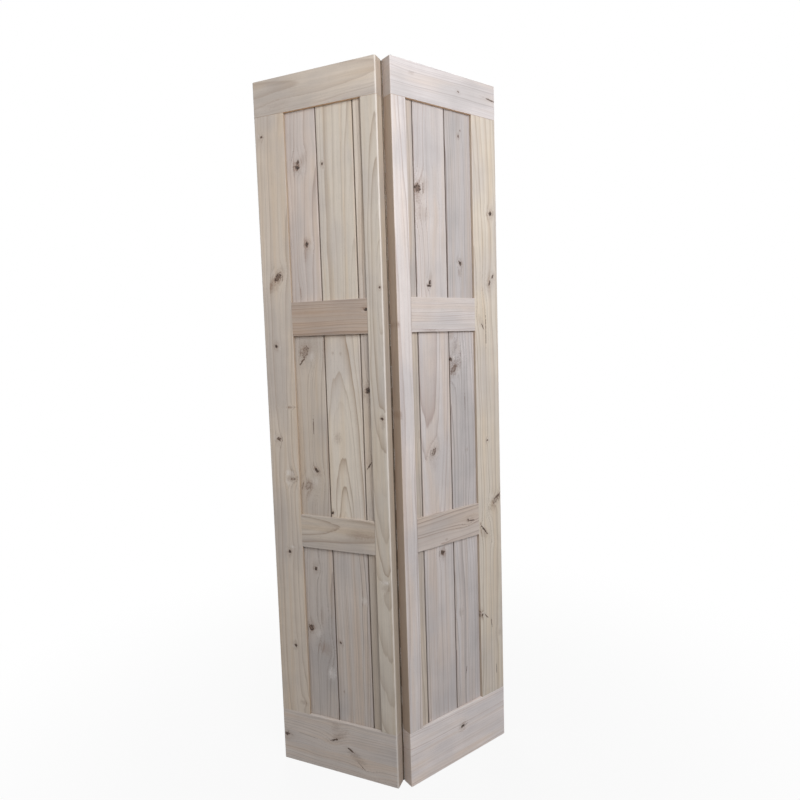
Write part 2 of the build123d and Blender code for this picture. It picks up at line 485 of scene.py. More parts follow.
RIGHT_TIMBERS = {
    "top_rail": Timber(
        Tint.SILVER,
        Sawn.QUIET,
        (
            knot(239.6, 45, 3.0, stretch=1.5, turn=25, strength=0.5),
            streak(366, 43, 2.6, stretch=10, turn=6, strength=0.8),
            stain(72, 31, 3.5, stretch=3, strength=0.6),
        ),
        shade=1.23,
        rings=0.85,
    ),
    "bottom_rail": Timber(
        Tint.PINK, Sawn.QUIET, (knot(204, 1930, 5.4, stretch=1.5, turn=-15),), shade=1.26
    ),
    "outer_stile": Timber(
        Tint.CREAM,
        Sawn.LEANING,
        (
            knot(358, 372, 6.2),
            knot(363, 560, 3.3, stretch=2.2, turn=32),
            streak(351, 580, 3.8, stretch=2.8, turn=26),
            stain(356, 570, 15, stretch=1.8, turn=28, strength=0.7),
            streak(332, 722, 1.3, stretch=50, strength=0.8),
            streak(319, 709, 2.0, stretch=6, turn=-32, strength=0.8),
            stain(312, 695, 9, stretch=2.4, turn=-26, strength=0.5),
            knot(331.5, 1057, 3.4, strength=0.8),
            ring(362, 1246, 8.0, stretch=2.6, turn=34, strength=0.55),
            streak(366, 1236, 2.0, stretch=9, turn=34, strength=0.8),
            stain(343, 1272, 9, strength=0.8),
            streak(309, 1333, 4.0, stretch=6.5, turn=-38),
            stain(306, 1340, 13, stretch=2.2, turn=-38, strength=0.7),
            knot(296, 1604, 4.0, stretch=1.5, strength=0.9),
            knot(287, 1594, 4.2, stretch=1.6, strength=0.9),
            streak(310, 1612, 1.9, stretch=8, turn=-52, strength=0.8),
            streak(334, 1640, 1.8, stretch=10, turn=-12, strength=0.6),
            stain(369, 1684, 9, stretch=1.4, strength=0.8),
            streak(353, 1800, 1.5, stretch=18, strength=0.6),
        ),
        shade=1.04,
    ),
    "fold_stile": Timber(
        Tint.PINK,
        Sawn.LEANING,
        (stain(3, 700, 4, stretch=2.0), stain(2, 948, 5, stretch=2.2)),
        side_wear=0.8,
        shade=1.05,
    ),
    "upper_mid_rail": Timber(Tint.PINK, Sawn.QUIET, (stain(105, 722, 7, stretch=5, turn=-3),), shade=0.97),
    "lower_mid_rail": Timber(
        Tint.ROSE,
        Sawn.LEANING,
        (
            knot(243, 1290, 3.6, stretch=0.9),
            streak(258, 1294, 1.9, stretch=7, turn=6),
            stain(250, 1288, 8, stretch=2.4, turn=-20, strength=0.6),
            stain(156, 1330, 4),
        ),
        shade=0.93,
        rings=1.6,
    ),
    "upper_outer_board": Timber(
        Tint.SILVER,
        Sawn.QUIET,
        (
            knot(244, 164, 3.0, stretch=1.5),
            knot(252, 147, 1.6),
            knot(240, 524, 4.4, stretch=1.8, turn=-22),
            stain(240, 552, 7, stretch=2.0),
        ),
        shade=0.93,
        rings=1.3,
    ),
    "upper_centre_board": Timber(
        Tint.PINK,
        Sawn.QUIET,
        (
            ring(87, 327, 11.0, stretch=1.25),
            stain(106, 316, 18, stretch=1.3, turn=40, strength=0.7),
            stain(100, 395, 26, stretch=0.8, strength=0.45),
            knot(124, 584, 3.8, stretch=2.2, turn=8),
            knot(121, 592, 3.6, stretch=1.0),
            stain(127, 566, 7, stretch=1.8, turn=6, strength=0.7),
        ),
        shade=0.91,
    ),
    "upper_fold_board": Timber(Tint.GREY, Sawn.STRAIGHT, shade=1.05),
    "middle_outer_board": Timber(
        Tint.SILVER,
        Sawn.LEANING,
        (
            stain(201, 734, 10, strength=0.9),
            knot(197, 803, 5.2, stretch=1.3),
            ring(208, 832, 8.0, stretch=2.0, turn=26, strength=0.6),
            stain(207, 830, 17, stretch=1.6, turn=26),
            stain(212, 770, 15, stretch=1.6, strength=0.6),
            streak(249, 930, 1.2, stretch=28, strength=0.6),
            stain(253, 1077, 5, strength=0.9),
        ),
        shade=1.07,
        rings=1.2,
    ),
    "middle_centre_board": Timber(
        Tint.PINK,
        Sawn.ARCHED,
        (
            ring(125, 1067, 6.5, stretch=2.3, turn=20, strength=0.65),
            stain(125, 1070, 12, stretch=1.9, turn=18, strength=0.7),
            stain(125, 1104, 9, stretch=2.2, strength=0.5),
        ),
        turned=True,
        shade=0.94,
    ),
    "middle_fold_board": Timber(
        Tint.TAN, Sawn.STRAIGHT, (stain(72, 1010, 5, stretch=3, strength=0.7),), shade=0.95
    ),
    "lower_outer_board": Timber(
        Tint.SILVER,
        Sawn.LEANING,
        (stain(215, 1575, 9, strength=0.6), streak(232, 1765, 1.2, stretch=14, turn=10)),
        shade=1.11,
    ),
    "lower_centre_board": Timber(
        Tint.PINK, Sawn.QUIET, (ring(148, 1371, 6.5), knot(149, 1370, 2.4)), shade=0.95
    ),
    "lower_fold_board": Timber(Tint.TAN, Sawn.STRAIGHT, shade=1.01),
}


@dataclass(frozen=True)
class Swing:
    """A noise that swings about 0 by an amount.

    The size of its features runs across, through and along the fibres, in
    millimetres, and detail says how many finer layers are in it.
    """

    size: Triple
    amount: float
    detail: float = 2.0


@dataclass(frozen=True)
class Patches:
    """A noise cut into patches, which begin where it passes low and are full at high."""

    size: Triple
    low: float
    high: float
    detail: float = 2.0


@dataclass
class NodeSheet:
    """A shader node tree that is written as a run of small sums and mixes."""

    tree: bpy.types.NodeTree

    @classmethod
    def group(cls, name: str, inputs: dict[str, str], outputs: dict[str, str]) -> "NodeSheet":
        """Starts a node group with named sockets.

        Args:
            name: The group's name.
            inputs: Socket kind by input name.
            outputs: Socket kind by output name.

        Returns:
            A sheet on the new group.
        """
        tree = bpy.data.node_groups.new(name, "ShaderNodeTree")
        for way, sockets in (("INPUT", inputs), ("OUTPUT", outputs)):
            for socket, kind in sockets.items():
                tree.interface.new_socket(name=socket, in_out=way, socket_type=f"NodeSocket{kind}")
        return cls(tree)

    def add(self, kind: str, **settings: object) -> bpy.types.Node:
        """Adds a node and sets its properties.

        Args:
            kind: The node's type.
            settings: Its properties by name.

        Returns:
            The node.
        """
        node = self.tree.nodes.new(kind)
        for name, value in settings.items():
            setattr(node, name, value)
        return node

    def feed(self, socket: bpy.types.NodeSocket, value: object) -> None:
        """Links an output to a socket, or sets the socket to a plain value.

        Args:
            socket: The input to feed.
            value: An output or a plain value.
        """
        if isinstance(value, bpy.types.NodeSocket):
            self.tree.links.new(value, socket)
        else:
            socket.default_value = value

    def given(self) -> bpy.types.NodeOutputs:
        """The inputs of the group that this sheet is."""
        return self.add("NodeGroupInput").outputs

    def give(self, **results: bpy.types.NodeSocket) -> None:
        """Feeds the group's outputs by name.

        Args:
            results: Values or outputs by output name.
        """
        ends = self.add("NodeGroupOutput").inputs
        for name, value in results.items():
            self.feed(ends[name], value)

    def use(self, group: bpy.types.NodeTree, values: dict[str, object]) -> bpy.types.NodeOutputs:
        """Places a node group and feeds its inputs.

        Args:
            group: The group to place.
            values: Values or outputs by input name.

        Returns:
            The placed group's outputs.
        """
        node = self.add("ShaderNodeGroup", node_tree=group)
        for name, value in values.items():
            self.feed(node.inputs[name], value)
        return node.outputs

    def math(self, operation: str, *values: object) -> bpy.types.NodeSocket:
        """A sum of one, two or three values.

        Args:
            operation: The math node's operation.
            values: Its values or outputs, in order.

        Returns:
            The result.
        """
        node = self.add("ShaderNodeMath", operation=operation)
        for socket, value in zip(node.inputs, values):
            self.feed(socket, value)
        return node.outputs[0]

    def vector(self, operation: str, *values: object) -> bpy.types.NodeSocket:
        """A vector sum, or its value for a dot product or a length.

        Args:
            operation: The vector math node's operation.
            values: Its vectors or outputs, in order.

        Returns:
            The result, a vector or a value.
        """
        node = self.add("ShaderNodeVectorMath", operation=operation)
        for socket, value in zip(node.inputs, values):
            self.feed(socket, value)
        plain = operation in ("DOT_PRODUCT", "LENGTH", "DISTANCE")
        return node.outputs["Value" if plain else "Vector"]

    def brighten(self, colour: object, factor: object) -> bpy.types.NodeSocket:
        """A colour times a factor.

        Args:
            colour: The colour.
            factor: The factor.

        Returns:
            The brighter or darker colour.
        """
        node = self.add("ShaderNodeVectorMath", operation="SCALE")
        self.feed(node.inputs[0], colour)
        self.feed(node.inputs["Scale"], factor)
        return node.outputs[0]

    def split(self, vector: object) -> bpy.types.NodeOutputs:
        """The X, Y and Z of a vector.

        Args:
            vector: The vector.

        Returns:
            The three values by name.
        """
        node = self.add("ShaderNodeSeparateXYZ")
        self.feed(node.inputs[0], vector)
        return node.outputs

    def combine(self, x: object, y: object, z: object) -> bpy.types.NodeSocket:
        """A vector from X, Y and Z.

        Args:
            x: Its X.
            y: Its Y.
            z: Its Z.

        Returns:
            The vector.
        """
        node = self.add("ShaderNodeCombineXYZ")
        for socket, value in zip(node.inputs, (x, y, z)):
            self.feed(socket, value)
        return node.outputs[0]

    def noise(self, vector: object, size: Triple, detail: float = 2.0) -> bpy.types.NodeSocket:
        """Smooth noise from 0 to 1 with features of the given size along each axis.

        Args:
            vector: The place.
            size: Feature size along X, Y and Z, in the place's unit.
            detail: How many finer layers are added.

        Returns:
            The noise value.
        """
        node = self.add("ShaderNodeTexNoise")
        self.feed(node.inputs["Vector"], self.vector("DIVIDE", vector, size))
        self.feed(node.inputs["Scale"], 1.0)
        self.feed(node.inputs["Detail"], detail)
        return node.outputs[0]

    def ease(self, value: object, low: float, high: float) -> bpy.types.NodeSocket:
        """A smooth step from 0 at low to 1 at high.

        Args:
            value: The value.
            low: Where the step starts.
            high: Where it ends.

        Returns:
            The step, from 0 to 1.
        """
        node = self.add("ShaderNodeMapRange", interpolation_type="SMOOTHSTEP")
        self.feed(node.inputs["Value"], value)
        self.feed(node.inputs["From Min"], low)
        self.feed(node.inputs["From Max"], high)
        return node.outputs[0]

    def spread(self, value: object, amount: float) -> bpy.types.NodeSocket:
        """Noise from 0 to 1 turned into a swing of that amount about 0."""
        return self.math("MULTIPLY", self.math("SUBTRACT", value, 0.5), amount)

    def swing(self, place: object, noise: Swing) -> bpy.types.NodeSocket:
        """A noise as a swing about 0."""
        return self.spread(self.noise(place, noise.size, noise.detail), noise.amount)

    def patches(self, place: object, noise: Patches) -> bpy.types.NodeSocket:
        """A noise cut into patches, from 0 to 1."""
        return self.ease(self.noise(place, noise.size, noise.detail), noise.low, noise.high)

    def blend(self, share: object, first: object, second: object) -> bpy.types.NodeSocket:
        """A colour between two others.

        Args:
            share: How much of the second shows.
            first: One colour.
            second: The other.

        Returns:
            The mixed colour.
        """
        node = self.add("ShaderNodeMix", data_type="RGBA")
        self.feed(node.inputs[0], share)
        self.feed(node.inputs[6], first)
        self.feed(node.inputs[7], second)
        return node.outputs[2]

    def relief(self, shader: bpy.types.Node, height: object, strength: float, reach: float) -> None:
        """Bumps a shader's surface.

        Args:
            shader: The shader.
            height: The height of the relief.
            strength: How strongly the relief shows.
            reach: What a height of 1 stands for, in metres.
        """
        bump = self.add("ShaderNodeBump")
        self.feed(bump.inputs["Strength"], strength)
        self.feed(bump.inputs["Distance"], reach)
        self.feed(bump.inputs["Height"], height)
        self.feed(shader.inputs["Normal"], bump.outputs[0])


@dataclass(frozen=True)
class AlderColours:
    """The colours that all the planks share: those of knots, of end grain and of scuffed edges, and painted
    highlights, painted shade and painted warm light.
    """

    core: Colour = srgb(58, 47, 42)
    rim: Colour = srgb(104, 84, 72)
    halo: Colour = srgb(143, 120, 105)
    pale: Colour = srgb(230, 225, 222)
    end_grain: Colour = srgb(176, 158, 142)
    # Pale scuffed edges, and the painted highlights on the left fold arris and on the rails' top ledges.
    rubbed: Colour = srgb(236, 231, 226)
    # Painted shade in the seams between boards and in the frame's joints.
    sheltered: Colour = srgb(116, 96, 81)
    # Painted shade on the sides of the stiles.
    side: Colour = srgb(163, 141, 119)
    # Painted warm light under the rails.
    underside: Colour = srgb(232, 192, 150)


@dataclass(frozen=True)
class MarkShape:
    """How a mark fades out, with its distances in radii, and how it moves the grain.

    Fraying is how ragged its outline is. Its core and its hollow fade over bands of
    distance, and its soft part fades from halo_start outwards. The flame streaks the
    soft part, ripples draw rings in it, and push and swirl bend the grain round it.
    Marks run through the wood, so their size that way is as good as endless.
    """

    through: float = 1e6
    fraying: float = 1.9
    core_band: Pair = (0.55, 0.95)
    hollow_band: Pair = (0.62, 0.38)
    halo_start: float = 0.2
    flame_gain: float = 1.8
    flame_least: float = -0.1
    patch_most: float = 1.7
    ripple_rate: float = 8.0
    ripple_share: float = 0.5
    push_fade: float = -0.22
    push_share: float = -0.7
    swirl_share: float = 0.8


@dataclass(frozen=True)
class RingShape:
    """How growth rings are drawn: a line that darkens towards its outer edge.

    The swings move the rings, in millimetres. Each ring has its own weight, by
    chance, and the lines are stronger near knots.
    """

    wander: Swing = Swing((80.0, 80.0, 420.0), 34.0)
    ripple: Swing = Swing((13.0, 13.0, 150.0), 4.5)
    years: Swing = Swing((34.0, 1.0, 1.0), 44.0, 1.0)
    line_power: float = 4.0
    line_end: Pair = (1.0, 0.93)
    chance_power: float = 1.6
    weight_swing: float = 0.9
    weight_least: float = 0.15
    gather: float = 1.6


@dataclass(frozen=True)
class FibreShape:
    """The layers of streaks, bands, fibres and flecks, with sizes in millimetres.

    Shades and roughness are swings about their middle, and reliefs are shares of
    the height of the bump.
    """

    streaks: Patches = Patches((20.0, 20.0, 650.0), 0.40, 0.68)
    clouds: Patches = Patches((120.0, 120.0, 240.0), 0.42, 0.66)
    flecks: Patches = Patches((0.7, 0.7, 6.0), 0.64, 0.76, 1.0)
    bark: Patches = Patches((2.6, 2.6, 3.4), 0.62, 0.42)
    # Silk mottles the shade: a painted sheen.
    silk: Swing = Swing((75.0, 75.0, 48.0), 0.13, 3.0)
    band_size: Triple = (5.5, 5.5, 300.0)
    fibre_size: Triple = (0.8, 0.8, 38.0)
    fine_detail: float = 3.0
    band_shade: float = 0.28
    fibre_shade: float = 0.24
    fleck_shade: float = 0.2
    roughness: float = 0.66
    core_polish: float = 0.18
    fibre_roughness: float = 0.16
    fibre_relief: float = 0.5
    band_relief: float = 0.4
    core_relief: float = 0.9
    fleck_relief: float = 0.5


@dataclass(frozen=True)
class KnotShares:
    """How much of each knot colour shows, and the bands of the core where it comes in.

    Inside its band the black is never less than black_least, and bark adds the rest.
    """

    pale: float = 0.75
    halo: float = 0.55
    rim: float = 0.9
    rim_band: Pair = (0.05, 0.45)
    black_band: Pair = (0.4, 0.9)
    black_least: float = 0.5
    bark: float = 0.5


@dataclass
class WoodGroups:
    """The shader node groups that every alder finish shares.

    The reach of a rubbed edge varies along it, with features of uneven_size, in
    millimetres, and is never less than the share least_reach.
    """

    colours: AlderColours = AlderColours()
    mark_shape: MarkShape = MarkShape()
    ring_shape: RingShape = RingShape()
    fibre_shape: FibreShape = FibreShape()
    knot_shares: KnotShares = KnotShares()
    uneven_size: Triple = (9.0, 9.0, 30.0)
    least_reach: float = 0.3

    def __post_init__(self) -> None:
        """Builds the groups."""
        self.mark = self.build_mark()
        self.edge = self.build_edge()
        self.grain = self.build_grain()

    def build_mark(self) -> bpy.types.NodeTree:
        """One knot, streak or patch, added to the marks before it.

        The grain flows round the mark, so the place goes on pushed aside.

        Returns:
            The group, which works along the grain in millimetres.
        """
        carried = ("Swirl", "Core", "Halo", "Pale")
        own = ("Across", "Along", "Radius", "Length", "Turn", "Reach", "Rough", "Flame")
        weights = ("Core weight", "Halo weight", "Pale weight", "Push weight", "Hollow weight")
        sheet = NodeSheet.group(
            "Wood mark",
            {"Vector": "Vector", **{name: "Float" for name in (*own, *weights, *carried)}},
            {"Vector": "Vector", **{name: "Float" for name in carried}},
        )
        given = sheet.given()
        shape = self.mark_shape
        middle = sheet.combine(given["Across"], 0.0, given["Along"])
        offset = sheet.vector("SUBTRACT", given["Vector"], middle)
        lean = sheet.add("ShaderNodeVectorRotate", rotation_type="Y_AXIS")
        sheet.feed(lean.inputs["Vector"], offset)
        sheet.feed(lean.inputs["Angle"], given["Turn"])
        size = sheet.combine(given["Radius"], shape.through, given["Length"])
        distance = sheet.vector("LENGTH", sheet.vector("DIVIDE", lean.outputs[0], size))
        distance = sheet.math("ADD", distance, sheet.spread(given["Rough"], shape.fraying))
        core = sheet.math("SUBTRACT", 1.0, sheet.ease(distance, *shape.core_band))
        within = sheet.math("MULTIPLY", sheet.ease(distance, *shape.hollow_band), given["Hollow weight"])
        core = sheet.math("MULTIPLY", core, sheet.math("SUBTRACT", 1.0, within))
        flame = sheet.math("MULTIPLY_ADD", given["Flame"], shape.flame_gain, shape.flame_least)
        soft = sheet.math("SUBTRACT", 1.0, sheet.ease(distance, shape.halo_start, given["Reach"]))
        rounds = sheet.math("SINE", sheet.math("MULTIPLY", distance, shape.ripple_rate))
        grown = sheet.math("MAXIMUM", sheet.math("MULTIPLY_ADD", given["Push weight"], 2.0, -1.0), 0.0)
        rounds = sheet.math("MULTIPLY", rounds, sheet.math("MULTIPLY", grown, shape.ripple_share))
        halo = sheet.math("MULTIPLY", soft, sheet.math("ADD", flame, rounds))
        patch = sheet.math("MULTIPLY", soft, sheet.math("SUBTRACT", shape.patch_most, flame))
        square = sheet.math("POWER", distance, 2.0)
        bell = sheet.math("EXPONENT", sheet.math("MULTIPLY", square, shape.push_fade))
        bell = sheet.math("MULTIPLY", bell, given["Push weight"])
        across = sheet.vector("DOT_PRODUCT", offset, (1.0, 0.0, 0.0))
        aside = sheet.math("MULTIPLY", across, sheet.math("MULTIPLY", bell, shape.push_share))
        swirl = sheet.math("MULTIPLY", given["Radius"], sheet.math("MULTIPLY", bell, shape.swirl_share))
        sheet.give(
            Vector=sheet.vector("ADD", given["Vector"], sheet.combine(aside, 0.0, 0.0)),
            Swirl=sheet.math("ADD", given["Swirl"], swirl),
            Core=sheet.math("MAXIMUM", given["Core"], sheet.math("MULTIPLY", core, given["Core weight"])),
            Halo=sheet.math("MAXIMUM", given["Halo"], sheet.math("MULTIPLY", halo, given["Halo weight"])),
            Pale=sheet.math("MAXIMUM", given["Pale"], sheet.math("MULTIPLY", patch, given["Pale weight"])),
        )
        return sheet.tree

    def build_edge(self) -> bpy.types.NodeTree:
        """How near a point of a box-shaped piece is to one of the box's edges.

        Returns:
            The group, whose mask is 1 on an arris and 0 away from it. It marks
            scuffed arrises, and the arris that takes the painted highlight.
        """
        sheet = NodeSheet.group(
            "Rubbed edge",
            {"Vector": "Vector", "Low": "Vector", "High": "Vector", "Reach": "Float"},
            {"Rubbed": "Float"},
        )
        given = sheet.given()
        below = sheet.vector("ABSOLUTE", sheet.vector("SUBTRACT", given["Vector"], given["Low"]))
        above = sheet.vector("ABSOLUTE", sheet.vector("SUBTRACT", given["High"], given["Vector"]))
        inside = sheet.split(sheet.vector("MINIMUM", below, above))
        total = sheet.math("ADD", sheet.math("ADD", inside["X"], inside["Y"]), inside["Z"])
        most = sheet.math("MAXIMUM", sheet.math("MAXIMUM", inside["X"], inside["Y"]), inside["Z"])
        least = sheet.math("MINIMUM", sheet.math("MINIMUM", inside["X"], inside["Y"]), inside["Z"])
        second = sheet.math("SUBTRACT", sheet.math("SUBTRACT", total, most), least)
        uneven = sheet.noise(given["Vector"], self.uneven_size)
        reach = sheet.math("MULTIPLY", given["Reach"], sheet.math("ADD", uneven, self.least_reach))
        near = sheet.math("SUBTRACT", 1.0, sheet.math("DIVIDE", second, reach))
        sheet.give(Rubbed=sheet.math("MAXIMUM", near, 0.0))
        return sheet.tree

    def build_grain(self) -> bpy.types.NodeTree:
        """Bare alder: growth rings, streaks, fibres, flecks and the marks in it.

        Returns:
            The group, which works along the grain in millimetres.
        """
        marks = ("Swirl", "Core", "Halo", "Pale")
        # Masks of end grain and scuffed edges, and of painted light: highlights, painted shade in seams,
        # joints and on stile sides, and painted warm light under rails.
        surface_masks = ("End", "Rubbed", "Sheltered", "Side", "Underside")
        figure = ("Ring pitch", "Pith across", "Pith depth", "Pith slope", "Line strength")
        colours = ("Early", "Late", "Warm", "Cool")
        sheet = NodeSheet.group(
            "Alder grain",
            {
                "Vector": "Vector",
                "Seed": "Vector",
                **{name: "Float" for name in (*marks, *surface_masks, "Plank shade", *figure)},
                **{name: "Color" for name in colours},
            },
            {"Color": "Color", "Roughness": "Float", "Height": "Float"},
        )
        given = sheet.given()
        shape = self.fibre_shape
        place = sheet.vector("ADD", given["Vector"], given["Seed"])
        late = self.rings(sheet, given, place)
        bands = sheet.noise(place, shape.band_size, shape.fine_detail)
        fibres = sheet.noise(place, shape.fibre_size, shape.fine_detail)
        flecks = sheet.patches(place, shape.flecks)

        colour = sheet.blend(sheet.patches(place, shape.streaks), given["Early"], given["Warm"])
        colour = sheet.blend(sheet.patches(place, shape.clouds), colour, given["Cool"])
        colour = sheet.blend(late, colour, given["Late"])
        banded = sheet.spread(bands, shape.band_shade)
        shade = sheet.math("ADD", banded, sheet.spread(fibres, shape.fibre_shade))
        # Painted sheen: silk mottles the shade.
        shade = sheet.math("ADD", shade, sheet.swing(place, shape.silk))
        flecked = sheet.math("MULTIPLY", flecks, shape.fleck_shade)
        shade = sheet.math("SUBTRACT", sheet.math("ADD", 1.0, shade), flecked)
        colour = sheet.brighten(colour, sheet.math("MULTIPLY", shade, given["Plank shade"]))
        colour = self.knotted(sheet, given, self.worn(sheet, given, colour))

        polish = sheet.math("MULTIPLY", given["Core"], shape.core_polish)
        smooth = sheet.math("SUBTRACT", shape.roughness, polish)
        rough = sheet.math("ADD", smooth, sheet.spread(fibres, shape.fibre_roughness))
        raised = sheet.spread(fibres, shape.fibre_relief)
        ridges = sheet.math("ADD", raised, sheet.spread(bands, shape.band_relief))
        sunk = sheet.math("MULTIPLY", given["Core"], shape.core_relief)
        height = sheet.math("SUBTRACT", ridges, sunk)
        height = sheet.math("SUBTRACT", height, sheet.math("MULTIPLY", flecks, shape.fleck_relief))
        sheet.give(Color=colour, Roughness=rough, Height=height)
        return sheet.tree

    def rings(
        self, sheet: NodeSheet, given: bpy.types.NodeOutputs, place: bpy.types.NodeSocket
    ) -> bpy.types.NodeSocket:
        """The dark lines of late wood, round a pith that wanders.

        Args:
            sheet: The grain group's sheet.
            given: The group's inputs.
            place: The place along the grain, moved by the plank's seed.

        Returns:
            How much of the late wood's colour shows.
        """
        shape = self.ring_shape
        wander = sheet.swing(place, shape.wander)
        ripple = sheet.swing(place, shape.ripple)
        at = sheet.split(given["Vector"])
        across = sheet.math("ADD", sheet.math("SUBTRACT", at["X"], given["Pith across"]), wander)
        tipped = sheet.math("MULTIPLY_ADD", at["Z"], given["Pith slope"], given["Pith depth"])
        deep = sheet.math("ADD", tipped, at["Y"])
        out = sheet.vector("LENGTH", sheet.combine(across, deep, 0.0))
        out = sheet.math("ADD", sheet.math("ADD", out, ripple), given["Swirl"])
        growth = sheet.vector("ADD", sheet.combine(out, 0.0, 0.0), given["Seed"])
        years = sheet.swing(growth, shape.years)
        phase = sheet.math("DIVIDE", sheet.math("ADD", out, years), given["Ring pitch"])
        ring_share = sheet.math("FRACT", phase)
        which = sheet.add("ShaderNodeTexWhiteNoise", noise_dimensions="1D")
        sheet.feed(which.inputs["W"], sheet.math("FLOOR", phase))
        darkening = sheet.math("POWER", ring_share, shape.line_power)
        line = sheet.math("MULTIPLY", darkening, sheet.ease(ring_share, *shape.line_end))
        chance = sheet.math("POWER", which.outputs["Value"], shape.chance_power)
        weight = sheet.math("MULTIPLY_ADD", chance, shape.weight_swing, shape.weight_least)
        gather = sheet.math("MULTIPLY_ADD", given["Halo"], shape.gather, 1.0)
        late = sheet.math("MULTIPLY", line, sheet.math("MULTIPLY", weight, given["Line strength"]))
        return sheet.math("MULTIPLY", late, gather)

    def worn(
        self, sheet: NodeSheet, given: bpy.types.NodeOutputs, colour: bpy.types.NodeSocket
    ) -> bpy.types.NodeSocket:
        """The wood's colour with scuffed edges and end grain in it, and with painted light:
        highlights on arrises and ledges, painted shade in seams, joints and on stile
        sides, and painted warm light under rails.

        Args:
            sheet: The grain group's sheet.
            given: The group's inputs.
            colour: The colour of the wood alone.

        Returns:
            The colour with those parts in it.
        """
        for name, shown in (
            ("Rubbed", self.colours.rubbed),
            ("End", self.colours.end_grain),
            ("Side", self.colours.side),
            ("Sheltered", self.colours.sheltered),
            ("Underside", self.colours.underside),
        ):
            colour = sheet.blend(given[name], colour, shown)
        return colour

    def knotted(
        self, sheet: NodeSheet, given: bpy.types.NodeOutputs, colour: bpy.types.NodeSocket
    ) -> bpy.types.NodeSocket:
        """The wood's colour with the marks in it.

        Args:
            sheet: The grain group's sheet.
            given: The group's inputs.
            colour: The colour of the wood.

        Returns:
            The colour with pale patches, brown halos, and knots with bark in them.
        """
        shares = self.knot_shares
        colours = self.colours
        colour = sheet.blend(sheet.math("MULTIPLY", given["Pale"], shares.pale), colour, colours.pale)
        colour = sheet.blend(sheet.math("MULTIPLY", given["Halo"], shares.halo), colour, colours.halo)
        rim = sheet.math("MULTIPLY", sheet.ease(given["Core"], *shares.rim_band), shares.rim)
        colour = sheet.blend(rim, colour, colours.rim)
        bark = sheet.patches(given["Vector"], self.fibre_shape.bark)
        dark = sheet.math("MULTIPLY_ADD", bark, shares.bark, shares.black_least)
        black = sheet.math("MULTIPLY", sheet.ease(given["Core"], *shares.black_band), dark)
        return sheet.blend(black, colour, colours.core)


@dataclass(frozen=True)
class DoorPlan:
    """Where the leaves stand, read from the frame, in metres and radians."""

    hinge: Vector
    half_fold: float
    height: float

    @classmethod
    def from_frame(cls, frame: dict) -> "DoorPlan":
        """Reads the fold joint: flat is its low limit, so rest is half of it for each leaf.

        Args:
            frame: The loaded frame.

        Returns:
            The plan.
        """
        fold = frame["joints"][0]
        low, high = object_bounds()
        half_fold = radians(-fold["range_deg"][0] / 2)
        return cls(Vector(fold["pos_m"]), half_fold, high[2] - low[2])

    def into_leaf(self, side: Side) -> Matrix:
        """The turn from the door's frame to a leaf's own frame, still in metres."""
        mirrored = Matrix.Diagonal((side.value, 1.0, 1.0, 1.0))
        return Matrix.Rotation(-self.half_fold, 4, "Z") @ Matrix.Translation(-self.hinge) @ mirrored


